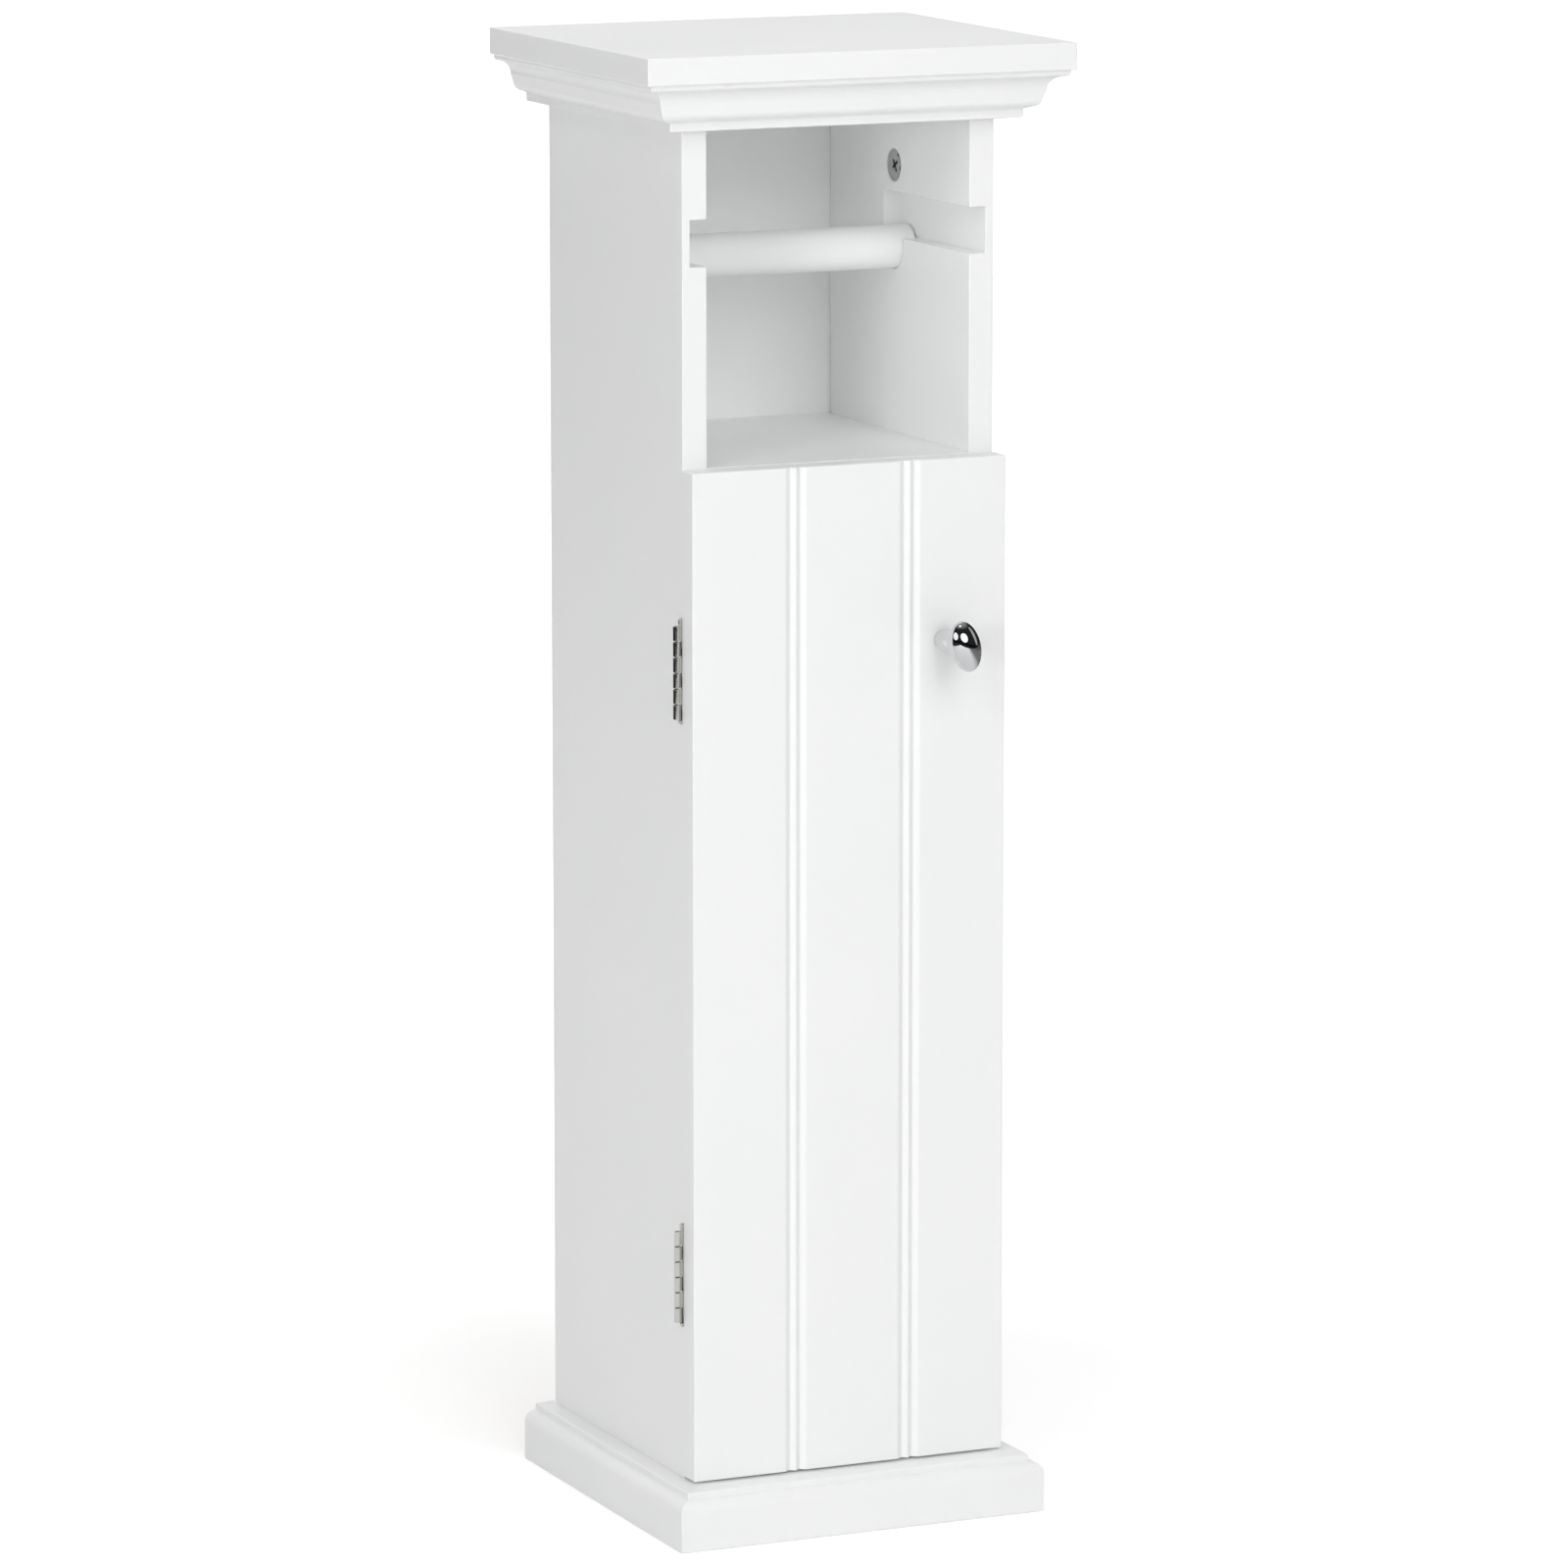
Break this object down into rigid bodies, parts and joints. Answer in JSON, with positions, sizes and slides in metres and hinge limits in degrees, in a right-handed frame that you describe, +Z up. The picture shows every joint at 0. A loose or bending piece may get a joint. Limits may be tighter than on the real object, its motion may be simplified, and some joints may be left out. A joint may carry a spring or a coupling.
{
  "type": "toilet roll storage cabinet",
  "caption": "Slim free-standing cabinet for toilet rolls: a fluted hinged door over a tall cupboard, and an open niche above with a lift-out roll bar.",
  "frame": {"origin": "on the floor, at the middle of the cabinet's box from the knob's front to the back panel's back", "axes": "+Z up; -Y out of the front, through the door; +X to the right as seen from the front"},
  "size_m": [0.2084, 0.198, 0.6735],
  "materials": {
    "white_paint": "white satin lacquer on fibreboard",
    "back_board": "hardboard, white in front and bare behind",
    "bare_beech": "bare turned beech",
    "hinge_nickel": "satin nickel plate",
    "cast_zinc": "grey cast zinc",
    "zinc_plated_steel": "bright zinc plate",
    "knob_chrome": "polished chrome plate",
    "catch_plastic": "white moulded plastic",
    "ferrite": "sintered ferrite"
  },
  "bodies": {
    "cabinet": {"left_side_panel": "white_paint", "right_side_panel": "white_paint", "back_panel": "back_board", "niche_floor": "white_paint", "cupboard_floor": "white_paint", "cap_board": "white_paint", "top_slab": "white_paint", "cornice_front": "white_paint", "cornice_left": "white_paint", "cornice_right": "white_paint", "plinth_front": "white_paint", "plinth_left": "white_paint", "plinth_right": "white_paint", "plinth_front_rail": "white_paint", "plinth_back_rail": "white_paint", "upper_hinge_cabinet_leaf": "hinge_nickel", "lower_hinge_cabinet_leaf": "hinge_nickel", "hinge_pins": "hinge_nickel", "cabinet_leaf_screws": "hinge_nickel", "cam_locks": "cast_zinc", "cam_bolts": "cast_zinc", "wooden_dowels": "bare_beech", "cap_screws": "zinc_plated_steel", "back_panel_nails": "zinc_plated_steel", "catch_housing": "catch_plastic", "catch_magnet": "ferrite", "catch_pole_plates": "zinc_plated_steel", "catch_screws": "zinc_plated_steel"},
    "door": {"door": "white_paint", "door_knob": "knob_chrome", "knob_screw": "zinc_plated_steel", "upper_hinge_door_leaf": "hinge_nickel", "lower_hinge_door_leaf": "hinge_nickel", "door_leaf_screws": "hinge_nickel", "strike_plate": "zinc_plated_steel", "strike_screw": "zinc_plated_steel"},
    "bar": {"roll_bar": "white_paint"}
  },
  "joints": [
    {"name": "door_hinge", "type": "hinge", "parent": "cabinet", "child": "door", "pos_m": [-0.0796, -0.05735, 0.2587], "axis": [0, 0, -1], "range_deg": [0, 180]},
    {"name": "roll_bar_lift", "type": "slide", "parent": "cabinet", "child": "bar", "axis": [0, 0, 1], "range_m": [0, 0.0152]}
  ]
}
